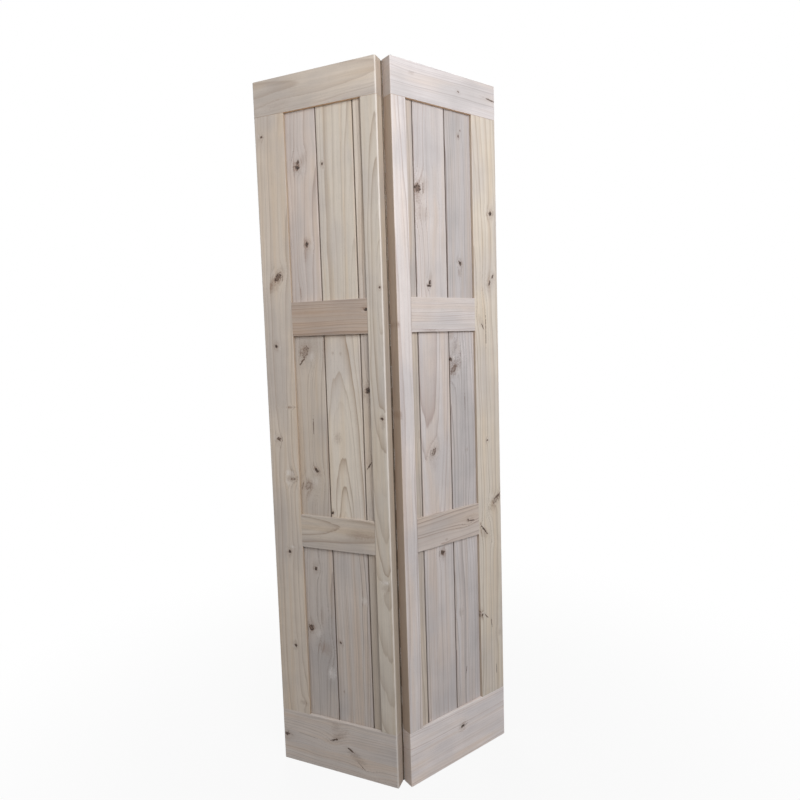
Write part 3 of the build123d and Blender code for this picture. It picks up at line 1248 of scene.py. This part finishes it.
@dataclass
class AlderFinish:
    """Bare, sanded alder for one piece.

    Reaches and depths are in millimetres in the leaf's frame, apart from the bump's
    reach, which is in metres. Shares say how much of a colour shows. Bands are of the
    cosine between a surface and the way it faces.
    """

    groups: WoodGroups
    plan: DoorPlan
    bump: float = 0.22
    bump_reach: float = 0.0004
    specular: float = 0.3
    rough_size: Triple = (4.0, 4.0, 5.5)
    rough_detail: float = 4.0
    flame_size: Triple = (3.0, 3.0, 40.0)
    flame_detail: float = 3.0
    facing_band: Pair = (0.55, 0.92)
    end_share: float = 0.5
    worn_reach: float = 3.0
    worn_share: float = 0.15
    # Painted highlight along the left leaf's fold arris.
    planed_reach: float = 7.0
    planed_share: float = 0.85
    # Painted shade in the board seams and in the frame's joints.
    seam_depths: Pair = (0.2, 1.5)
    seam_share: float = 0.54
    joint_share: float = 0.75
    # Painted highlight on the rails' top ledges.
    ledge_band: Pair = (0.4, 0.9)
    ledge_share: float = 0.2
    # Painted warm light under the rails.
    underside_band: Pair = (-0.55, -0.92)
    underside_share: float = 0.8
    far: float = 1e5
    seed_range: float = 4000.0
    pitch_range: Pair = (0.8, 1.25)
    across_range: Pair = (0.6, 1.3)

    def dress(self, piece: bpy.types.Object, side: Side, member: Member, timber: Timber, seed: int) -> None:
        """Gives a piece its own plank.

        Args:
            piece: The wooden piece, standing at rest.
            side: The leaf that it belongs to.
            member: What the piece is in the leaf.
            timber: Its plank and the marks on it.
            seed: Picks the plank's own streaks and rings.
        """
        material = bpy.data.materials.new(f"alder_{piece.name}")
        material.use_nodes = True
        sheet = NodeSheet(material.node_tree)
        box = self.leaf_box(piece, side)
        rng = random.Random(seed)
        coordinates = sheet.add("ShaderNodeTexCoord")
        normal = coordinates.outputs["Normal"]
        in_leaf = self.leaf_mapping(sheet, coordinates.outputs["Object"], side)
        values = {
            **self.marks(sheet, in_leaf, side, member.grain, timber, rng),
            **self.plank(member.grain, timber, (box[0] + box[1]) / 2, rng),
            **self.edges(sheet, in_leaf, normal, side, member, box),
        }
        sideways = self.facing(sheet, normal, self.along_leaf(side))
        end = sideways
        if member.grain is Grain.UPRIGHT:
            end = self.facing(sheet, normal, Vector((0.0, 0.0, 1.0)))
        # Painted shade on the sides of the stiles.
        if member is Member.STILE:
            values["Side"] = sheet.math("MULTIPLY", sideways, timber.side_wear)
        values["End"] = sheet.math("MULTIPLY", end, self.end_share)
        # Painted shade in the seams and joints.
        values["Sheltered"] = self.sheltered(sheet, member, in_leaf, end, (box[0].y, box[1].y))
        wood = sheet.use(self.groups.grain, values)
        shader = sheet.tree.nodes["Principled BSDF"]
        sheet.feed(shader.inputs["Base Color"], wood["Color"])
        sheet.feed(shader.inputs["Roughness"], wood["Roughness"])
        sheet.feed(shader.inputs["Specular IOR Level"], self.specular)
        sheet.relief(shader, wood["Height"], self.bump, self.bump_reach)
        piece.data.materials.clear()
        piece.data.materials.append(material)

    def marks(
        self,
        sheet: NodeSheet,
        in_leaf: bpy.types.NodeSocket,
        side: Side,
        grain: Grain,
        timber: Timber,
        rng: random.Random,
    ) -> dict[str, object]:
        """Places all the marks of a piece, one on top of the other.

        Args:
            sheet: The material's sheet.
            in_leaf: The place in the leaf's frame.
            side: The leaf that the piece belongs to.
            grain: The way its fibres run.
            timber: Its plank and the marks on it.
            rng: Places the company of the knots.

        Returns:
            The place along the grain and the masks of the marks, by name.
        """
        along_grain = sheet.add("ShaderNodeMapping", vector_type="POINT")
        sheet.feed(along_grain.inputs["Vector"], in_leaf)
        if grain is Grain.ACROSS:
            sheet.feed(along_grain.inputs["Rotation"], (0.0, pi / 2, 0.0))
        place = along_grain.outputs[0]
        fraying = {
            "Rough": sheet.noise(place, self.rough_size, self.rough_detail),
            "Flame": sheet.noise(place, self.flame_size, self.flame_detail),
        }
        carried: dict[str, object] = {"Vector": place}
        for mark in timber.marks:
            for part in (*company(mark, rng), mark):
                outputs = self.place_mark(sheet, fraying, part, side, grain, carried)
                carried = {name: outputs[name] for name in ("Vector", "Swirl", "Core", "Halo", "Pale")}
        return carried

    def plank(self, grain: Grain, timber: Timber, middle: Vector, rng: random.Random) -> dict[str, object]:
        """How a piece was sawn, and its colours.

        Args:
            grain: The way its fibres run.
            timber: Its plank.
            middle: The middle of the piece in the leaf's frame.
            rng: Picks the plank's own streaks and rings.

        Returns:
            The values by input name.
        """
        figure = timber.sawn.value
        tint = timber.tint.value
        upright = grain is Grain.UPRIGHT
        centre = middle.x if upright else middle.z
        start = middle.z if upright else -middle.x
        flip = -1.0 if timber.turned else 1.0
        return {
            "Seed": tuple(rng.uniform(-self.seed_range, self.seed_range) for _ in range(3)),
            "Plank shade": timber.shade,
            "Ring pitch": figure.ring_pitch * rng.uniform(*self.pitch_range),
            "Pith across": centre + flip * figure.pith_across * rng.uniform(*self.across_range),
            "Pith depth": figure.pith_depth - flip * figure.pith_slope * start,
            "Pith slope": flip * figure.pith_slope,
            "Line strength": figure.line_strength * timber.rings,
            "Early": tint.early,
            "Late": tint.late,
            "Warm": tint.warm,
            "Cool": tint.cool,
        }

    def edges(
        self,
        sheet: NodeSheet,
        in_leaf: bpy.types.NodeSocket,
        normal: bpy.types.NodeSocket,
        side: Side,
        member: Member,
        box: tuple[Vector, Vector],
    ) -> dict[str, object]:
        """Where a piece's edges are scuffed pale, and where painted light lies on it.

        The left leaf's fold arris has a painted highlight for its whole height, the
        rails' top ledges a fainter painted highlight, and their undersides painted
        warm light.

        Args:
            sheet: The material's sheet.
            in_leaf: The place in the leaf's frame.
            normal: The way that the surface faces.
            side: The leaf that the piece belongs to.
            member: What the piece is in the leaf.
            box: Its lowest and highest corners in the leaf's frame.

        Returns:
            The shares of those colours, by input name.
        """
        low, high = box
        # Painted highlight along the left leaf's fold arris, on its frame pieces.
        highlit_arris = side is Side.LEFT and low.x < self.planed_reach and member is not Member.BOARD
        if highlit_arris:
            worn = {"Low": (low.x, low.y, -self.far), "High": (self.far,) * 3, "Reach": self.planed_reach}
        else:
            worn = {"Low": tuple(low), "High": tuple(high), "Reach": self.worn_reach}
        rubbed = sheet.use(self.groups.edge, {"Vector": in_leaf, **worn})["Rubbed"]
        rubbed = sheet.math("MULTIPLY", rubbed, self.planed_share if highlit_arris else self.worn_share)
        if member.grain is Grain.UPRIGHT:
            return {"Rubbed": rubbed}
        # Painted highlight on the rails' upward faces.
        rise = sheet.vector("DOT_PRODUCT", normal, (0.0, 0.0, 1.0))
        ledge_highlight = sheet.math("MULTIPLY", sheet.ease(rise, *self.ledge_band), self.ledge_share)
        # Painted warm light on the rails' downward faces.
        underside = sheet.ease(rise, *self.underside_band)
        return {
            "Rubbed": sheet.math("MAXIMUM", rubbed, ledge_highlight),
            "Underside": sheet.math("MULTIPLY", underside, self.underside_share),
        }

    def facing(self, sheet: NodeSheet, normal: bpy.types.NodeSocket, way: Vector) -> bpy.types.NodeSocket:
        """1 where a surface faces that way or the opposite way, and 0 where it doesn't."""
        share = sheet.vector("DOT_PRODUCT", normal, tuple(way))
        return sheet.ease(sheet.math("ABSOLUTE", share), *self.facing_band)

    def sheltered(
        self,
        sheet: NodeSheet,
        member: Member,
        in_leaf: bpy.types.NodeSocket,
        end: bpy.types.NodeSocket,
        faces: tuple[float, float],
    ) -> object:
        """Painted shade in the seams between boards and in the joints of the frame.

        Args:
            sheet: The material's sheet.
            member: What the piece is in the leaf.
            in_leaf: The place in the leaf's frame.
            end: 1 on the ends of the fibres.
            faces: Where the piece's front and back faces lie, through the leaf.

        Returns:
            How much painted shade shows there, from 0 to 1.
        """
        if member is Member.END_RAIL:
            return 0.0
        if member is not Member.BOARD:
            return sheet.math("MULTIPLY", end, self.joint_share)
        through = sheet.split(in_leaf)["Y"]
        from_front = sheet.math("SUBTRACT", through, faces[0])
        from_back = sheet.math("SUBTRACT", faces[1], through)
        seam = sheet.ease(sheet.math("MINIMUM", from_front, from_back), *self.seam_depths)
        return sheet.math("MULTIPLY", seam, self.seam_share)

    def place_mark(
        self,
        sheet: NodeSheet,
        fraying: dict[str, bpy.types.NodeSocket],
        mark: Mark,
        side: Side,
        grain: Grain,
        carried: dict[str, object],
    ) -> bpy.types.NodeOutputs:
        """Adds one mark to the marks before it.

        Args:
            sheet: The material's sheet.
            fraying: The noises that fray the mark, by name.
            mark: The mark.
            side: The leaf that it is on.
            grain: The way the fibres run.
            carried: The place along the grain and the masks of the marks before it, by name.

        Returns:
            The place and the masks with this mark in them.
        """
        strength = MARK_STRENGTHS[mark.kind]
        height = self.plan.height / MM - mark.from_top
        upright = grain is Grain.UPRIGHT
        values = {
            **fraying,
            "Across": mark.from_fold if upright else height,
            "Along": height if upright else -mark.from_fold,
            "Radius": mark.radius,
            "Length": mark.radius * mark.stretch,
            "Turn": -side.value * radians(mark.turn),
            "Reach": strength.reach,
            "Core weight": strength.core * mark.strength,
            "Halo weight": strength.halo * mark.strength,
            "Pale weight": strength.pale * mark.strength,
            "Push weight": strength.push,
            "Hollow weight": strength.hollow,
            **carried,
        }
        return sheet.use(self.groups.mark, values)

    def leaf_mapping(self, sheet: NodeSheet, place: bpy.types.NodeSocket, side: Side) -> bpy.types.NodeSocket:
        """Turns the object's own coordinates into the leaf's frame, in millimetres.

        Args:
            sheet: The material's sheet.
            place: The object's coordinates.
            side: The leaf.

        Returns:
            The place in the leaf's frame.
        """
        turn = self.plan.into_leaf(side)
        node = sheet.add("ShaderNodeMapping", vector_type="POINT")
        sheet.feed(node.inputs["Vector"], place)
        sheet.feed(node.inputs["Location"], tuple(turn.translation / MM))
        sheet.feed(node.inputs["Rotation"], (0.0, 0.0, -self.plan.half_fold))
        sheet.feed(node.inputs["Scale"], (side.value / MM, 1.0 / MM, 1.0 / MM))
        return node.outputs[0]

    def leaf_box(self, piece: bpy.types.Object, side: Side) -> tuple[Vector, Vector]:
        """A piece's lowest and highest corners in the leaf's frame, in millimetres.

        Args:
            piece: The piece, standing at rest.
            side: The leaf that it belongs to.

        Returns:
            The two corners.
        """
        turn = self.plan.into_leaf(side)
        places = [turn @ vertex.co / MM for vertex in piece.data.vertices]
        low = Vector(min(p[i] for p in places) for i in range(3))
        high = Vector(max(p[i] for p in places) for i in range(3))
        return low, high

    def along_leaf(self, side: Side) -> Vector:
        """The direction from the fold edge to the outer edge, in the door's frame."""
        return Vector((side.value * cos(self.plan.half_fold), sin(self.plan.half_fold), 0.0))


@dataclass(frozen=True)
class BronzeFinish:
    """Dark bronze lacquer, a little clouded, on drawn steel. Sizes are in metres."""

    name: str
    dark: Colour = srgb(92, 81, 71)
    brown: Colour = srgb(112, 98, 84)
    metallic: float = 0.8
    roughness: float = 0.42
    roughness_swing: float = 0.12
    cloud_size: Triple = (0.008, 0.008, 0.011)
    cloud_detail: float = 4.0
    cloud_band: Pair = (0.3, 0.75)
    drawn_size: Triple = (0.0005, 0.0005, 0.02)
    bump: float = 0.06
    bump_reach: float = 0.0002

    def material(self) -> bpy.types.Material:
        """Builds the finish.

        Returns:
            The material.
        """
        material = bpy.data.materials.new(self.name)
        material.use_nodes = True
        sheet = NodeSheet(material.node_tree)
        place = sheet.add("ShaderNodeTexCoord").outputs["Object"]
        cloud = sheet.noise(place, self.cloud_size, self.cloud_detail)
        tone = sheet.ease(cloud, *self.cloud_band)
        rough = sheet.math("ADD", self.roughness, sheet.spread(cloud, self.roughness_swing))
        shader = sheet.tree.nodes["Principled BSDF"]
        sheet.feed(shader.inputs["Base Color"], sheet.blend(tone, self.dark, self.brown))
        sheet.feed(shader.inputs["Metallic"], self.metallic)
        sheet.feed(shader.inputs["Roughness"], rough)
        sheet.relief(shader, sheet.noise(place, self.drawn_size), self.bump, self.bump_reach)
        return material


def deselect_all() -> None:
    """Leaves object mode with nothing selected."""
    if bpy.context.mode != "OBJECT":
        bpy.ops.object.mode_set(mode="OBJECT")
    bpy.ops.object.select_all(action="DESELECT")


def take(piece: bpy.types.Object) -> None:
    """Makes a piece the only selected and the active one.

    Args:
        piece: The piece.
    """
    deselect_all()
    piece.select_set(True)
    bpy.context.view_layer.objects.active = piece


@dataclass(frozen=True)
class Easing:
    """How the sharp edges of a solid are eased, in metres and radians.

    Edges that turn by more than the corner are eased. Points nearer than merge are
    joined, faces that turn by less than flat become one, and edges that turn by
    more than smooth stay sharp in the shading.
    """

    width: float
    segments: int = 2
    corner: float = radians(40)
    merge: float = 1e-6
    flat: float = radians(0.5)
    smooth: float = radians(35)

    def copy(self, node: bpy.types.Object, name: str) -> bpy.types.Object:
        """A copy of a solid with its facets merged and its sharp edges eased.

        Args:
            node: The solid's object, which is left alone.
            name: The copy's name.

        Returns:
            The copy, in place.
        """
        piece = bpy.data.objects.new(name, node.data.copy())
        bpy.context.scene.collection.objects.link(piece)
        take(piece)
        bpy.ops.object.mode_set(mode="EDIT")
        bpy.ops.mesh.select_all(action="SELECT")
        bpy.ops.mesh.remove_doubles(threshold=self.merge)
        bpy.ops.mesh.dissolve_limited(angle_limit=self.flat)
        bpy.ops.object.mode_set(mode="OBJECT")
        bpy.ops.object.modifier_add(type="BEVEL")
        bevel = piece.modifiers[-1]
        bevel.limit_method = "ANGLE"
        bevel.angle_limit = self.corner
        bevel.width = self.width
        bevel.segments = self.segments
        bevel.loop_slide = False
        bpy.ops.object.modifier_apply(modifier=bevel.name)
        bpy.ops.object.shade_smooth_by_angle(angle=self.smooth)
        bpy.ops.object.modifier_add(type="WEIGHTED_NORMAL")
        weighted = piece.modifiers[-1]
        weighted.keep_sharp = True
        bpy.ops.object.modifier_apply(modifier=weighted.name)
        return piece


@dataclass
class DoorLeaf:
    """One leaf: its frame and its boards, each eased and dressed."""

    side: Side
    timbers: dict[str, Timber]
    finish: AlderFinish
    frame_ease: Easing = Easing(1.0 * MM)
    board_ease: Easing = Easing(0.4 * MM)
    seeds_per_leaf: int = 100

    @property
    def body(self) -> str:
        """The body that the leaf moves with."""
        return f"{self.side.word}_leaf"

    def build(self, nodes: dict[str, bpy.types.Object]) -> None:
        """Builds every wooden piece of the leaf.

        Args:
            nodes: The solids' objects by name.
        """
        for order, (name, timber) in enumerate(self.timbers.items()):
            node = f"{self.side.word}_{name}"
            member = Member.named(name)
            is_board = member is Member.BOARD
            ease = self.board_ease if is_board else self.frame_ease
            piece = ease.copy(nodes[node], f"{node}_eased")
            seed = self.seeds_per_leaf * (self.side.value + 2) + order
            self.finish.dress(piece, self.side, member, timber, seed)
            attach(piece, self.body)
            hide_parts(node)
            LOG.info("%s: %d faces, %d marks", piece.name, len(piece.data.polygons), len(timber.marks))


@dataclass
class ContinuousHinge:
    """The long hinge on the backs of the leaves, with its screws."""

    plan: DoorPlan
    strip: BronzeFinish = BronzeFinish("dark_bronze")
    screw: BronzeFinish = BronzeFinish("bronze_screw", srgb(150, 130, 108), srgb(182, 158, 130))
    ease: Easing = Easing(0.15 * MM)
    head_sides: int = 20
    head_ease: float = 0.15 * MM
    head_segments: int = 2
    head_radius: float = 3.1 * MM
    head_depth: float = 0.7 * MM
    head_stand: float = 0.25 * MM
    slot_length: float = 3.6 * MM
    slot_width: float = 0.8 * MM
    screw_pitch: float = 90.0 * MM
    first_screw: float = 46.0 * MM
    row_places: Pair = (9.0 * MM, 14.0 * MM)

    def build(self, nodes: dict[str, bpy.types.Object]) -> None:
        """Dresses the hinge and fits its screws.

        Args:
            nodes: The solids' objects by name.
        """
        bronze = self.strip.material()
        screw_metal = self.screw.material()
        for node, body in (
            ("left_hinge_leaf", "left_leaf"),
            ("right_hinge_leaf", "right_leaf"),
            ("hinge_pin", "left_leaf"),
        ):
            piece = self.ease.copy(nodes[node], f"{node}_eased")
            piece.data.materials.clear()
            piece.data.materials.append(bronze)
            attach(piece, body)
            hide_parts(node)
            LOG.info("%s: %d faces", piece.name, len(piece.data.polygons))
        for side in Side:
            screws = self.screws(side, nodes[f"{side.word}_hinge_leaf"])
            screws.data.materials.append(screw_metal)
            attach(screws, f"{side.word}_leaf")
            LOG.info("%s: %d faces", screws.name, len(screws.data.polygons))

    def head(self) -> bpy.types.Object:
        """One flat screw head with a cross recess, at the origin and facing +Z.

        Returns:
            The head.
        """
        deselect_all()
        bpy.ops.mesh.primitive_cylinder_add(
            vertices=self.head_sides, radius=self.head_radius, depth=self.head_depth
        )
        head = bpy.context.object
        bpy.ops.object.mode_set(mode="EDIT")
        bpy.ops.mesh.select_all(action="SELECT")
        bpy.ops.mesh.bevel(offset=self.head_ease, segments=self.head_segments, affect="EDGES")
        bpy.ops.object.mode_set(mode="OBJECT")
        for turn in (0.0, pi / 2):
            deselect_all()
            face = (0.0, 0.0, self.head_depth / 2)
            bpy.ops.mesh.primitive_cube_add(size=1.0, location=face, rotation=(0.0, 0.0, turn))
            cutter = bpy.context.object
            slot = (self.slot_length, self.slot_width, self.head_depth)
            bpy.ops.transform.resize(value=slot, orient_type="LOCAL")
            take(head)
            bpy.ops.object.modifier_add(type="BOOLEAN")
            cut = head.modifiers[-1]
            cut.operation = "DIFFERENCE"
            cut.object = cutter
            bpy.ops.object.modifier_apply(modifier=cut.name)
            bpy.data.objects.remove(cutter)
        return head

    def screws(self, side: Side, strip: bpy.types.Object) -> bpy.types.Object:
        """All the screws of one hinge leaf as one mesh.

        Args:
            side: The leaf that the screws go into.
            strip: That side's hinge leaf, which carries them.

        Returns:
            The screws, in place.
        """
        into = self.plan.into_leaf(side)
        plate = [into @ vertex.co for vertex in strip.data.vertices]
        far_edge = max(p.x for p in plate)
        face = max(p.y for p in plate if p.x > far_edge - MM)
        top = max(p.z for p in plate)
        pattern = self.head()
        heads = []
        height = self.first_screw
        rng = random.Random(side.value)
        while height < top - self.first_screw / 2:
            across = self.row_places[len(heads) % len(self.row_places)]
            copy = bpy.data.objects.new("screw", pattern.data.copy())
            bpy.context.scene.collection.objects.link(copy)
            stand = Matrix.Translation((across, face + self.head_stand - self.head_depth / 2, height))
            facing = Matrix.Rotation(-pi / 2, 4, "X") @ Matrix.Rotation(rng.uniform(0, pi), 4, "Z")
            copy.data.transform(into.inverted() @ stand @ facing)
            heads.append(copy)
            height += self.screw_pitch
        bpy.data.objects.remove(pattern)
        deselect_all()
        for copy in heads:
            copy.select_set(True)
        bpy.context.view_layer.objects.active = heads[0]
        bpy.ops.object.join()
        joined = bpy.context.object
        joined.name = f"{side.word}_hinge_screws"
        bpy.ops.object.mode_set(mode="EDIT")
        bpy.ops.mesh.select_all(action="SELECT")
        bpy.ops.mesh.normals_make_consistent(inside=False)
        bpy.ops.object.mode_set(mode="OBJECT")
        return joined


@dataclass(frozen=True)
class SoftBox:
    """A square soft lamp: its place and the point that it faces, in metres, its side and its watts."""

    name: str
    place: Triple
    aim: Triple
    size: float
    power: float
    colour: Triple = (1.0, 0.995, 0.99)

    def build(self) -> None:
        """Hangs the lamp."""
        light = bpy.data.lights.new(self.name, "AREA")
        light.size = self.size
        light.energy = self.power
        light.color = self.colour
        lamp = bpy.data.objects.new(self.name, light)
        lamp.location = self.place
        ray = Vector(self.aim) - Vector(self.place)
        lamp.rotation_euler = ray.to_track_quat("-Z", "Y").to_euler()
        bpy.context.scene.collection.objects.link(lamp)


@dataclass
class Studio:
    """A pale floor, soft light and the camera, which stands as measured from the hinge.

    The floor takes a shadow near the door, and fades to white over a band of distance.
    """

    plan: DoorPlan
    image_width: float = 800.0
    focal_pixels: float = 598.2
    principal_point: Pair = (392.8, 390.2)
    camera_from_hinge: Triple = (-182.5 * MM, -1645.2 * MM, 1295.1 * MM)
    yaw: float = radians(6.456)
    pitch: float = radians(-4.932)
    roll: float = radians(-1.815)
    sensor_width: float = 36.0
    ambient: float = 0.3
    floor_size: float = 40.0
    floor_colour: Colour = srgb(172, 172, 172)
    floor_roughness: float = 0.9
    floor_fade: Pair = (0.4, 1.9)
    floor_white: float = 0.92
    key: SoftBox = SoftBox("key", (0.7, -2.0, 2.3), (0.1, 0.0, 1.8), 1.2, 43.0)
    fill: SoftBox = SoftBox("fill", (-1.6, -1.3, 2.2), (-0.2, 0.0, 1.7), 1.2, 8.0, (1.0, 0.98, 0.955))
    back: SoftBox = SoftBox("back", (-0.3, 2.7, 2.6), (0.0, 0.1, 1.3), 1.6, 54.0)

    def build(self) -> None:
        """Sets up the floor, the light and the camera."""
        self.floor()
        self.sky()
        for lamp in (self.key, self.fill, self.back):
            lamp.build()
        self.camera()

    def floor(self) -> None:
        """A wide pale floor that keeps the door's shadow but reads as white."""
        deselect_all()
        bpy.ops.mesh.primitive_plane_add(size=self.floor_size)
        floor = bpy.context.object
        floor.name = "floor"
        material = bpy.data.materials.new("pale_floor")
        material.use_nodes = True
        sheet = NodeSheet(material.node_tree)
        shader = sheet.tree.nodes["Principled BSDF"]
        sheet.feed(shader.inputs["Base Color"], self.floor_colour)
        sheet.feed(shader.inputs["Roughness"], self.floor_roughness)
        glow = sheet.add("ShaderNodeEmission")
        sheet.feed(glow.inputs["Strength"], 1.0)
        place = sheet.add("ShaderNodeTexCoord").outputs["Object"]
        far = sheet.ease(sheet.vector("LENGTH", place), *self.floor_fade)
        white = sheet.math("MULTIPLY_ADD", far, 1.0 - self.floor_white, self.floor_white)
        seen = sheet.math("MULTIPLY", white, self.seen_directly(sheet))
        mix = sheet.add("ShaderNodeMixShader")
        sheet.feed(mix.inputs[0], seen)
        sheet.feed(mix.inputs[1], shader.outputs[0])
        sheet.feed(mix.inputs[2], glow.outputs[0])
        sheet.feed(sheet.tree.nodes["Material Output"].inputs["Surface"], mix.outputs[0])
        floor.data.materials.append(material)
        floor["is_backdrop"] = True

    def sky(self) -> None:
        """Even light from all round, seen as white."""
        world = bpy.data.worlds.new("studio")
        bpy.context.scene.world = world
        world.use_nodes = True
        sheet = NodeSheet(world.node_tree)
        sky = sheet.tree.nodes["Background"]
        sheet.feed(sky.inputs["Color"], (1.0, 1.0, 1.0, 1.0))
        seen = self.seen_directly(sheet)
        strength = sheet.math("MULTIPLY_ADD", seen, 1.0 - self.ambient, self.ambient)
        sheet.feed(sky.inputs["Strength"], strength)

    def seen_directly(self, sheet: NodeSheet) -> bpy.types.NodeSocket:
        """1 for rays that show the studio itself, and 0 for rays that light the door.

        Args:
            sheet: The sheet of the floor or of the sky.

        Returns:
            The mask.
        """
        path = sheet.add("ShaderNodeLightPath").outputs
        mirrored = sheet.math("MAXIMUM", path["Is Glossy Ray"], path["Is Transmission Ray"])
        return sheet.math("MAXIMUM", path["Is Camera Ray"], mirrored)

    def camera(self) -> None:
        """The camera, at the place and angle of the view being matched."""
        ahead = Vector((sin(self.yaw) * cos(self.pitch), cos(self.yaw) * cos(self.pitch), sin(self.pitch)))
        level = Vector((cos(self.yaw), -sin(self.yaw), 0.0))
        up = level.cross(ahead)
        right = cos(self.roll) * level + sin(self.roll) * up
        top = cos(self.roll) * up - sin(self.roll) * level
        turn = Matrix((right, top, -ahead)).transposed().to_4x4()
        lens = bpy.data.cameras.new("camera")
        lens.sensor_fit = "HORIZONTAL"
        lens.sensor_width = self.sensor_width
        lens.lens = self.focal_pixels / self.image_width * self.sensor_width
        lens.shift_x = 0.5 - self.principal_point[0] / self.image_width
        lens.shift_y = self.principal_point[1] / self.image_width - 0.5
        camera = bpy.data.objects.new("camera", lens)
        stand = Vector((self.plan.hinge.x, self.plan.hinge.y, 0.0))
        camera.matrix_world = Matrix.Translation(stand + Vector(self.camera_from_hinge)) @ turn
        bpy.context.scene.collection.objects.link(camera)
        bpy.context.scene.camera = camera


def main() -> None:
    """Loads the frame, builds the door and sets the studio."""
    logging.basicConfig(level=logging.INFO, format="%(name)s %(message)s")
    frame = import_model()
    bpy.context.scene.view_settings.view_transform = "Standard"
    plan = DoorPlan.from_frame(frame)
    finish = AlderFinish(WoodGroups(), plan)
    DoorLeaf(Side.LEFT, LEFT_TIMBERS, finish).build(frame["nodes"])
    DoorLeaf(Side.RIGHT, RIGHT_TIMBERS, finish).build(frame["nodes"])
    ContinuousHinge(plan).build(frame["nodes"])
    Studio(plan).build()


if __name__ == "__main__":
    main()
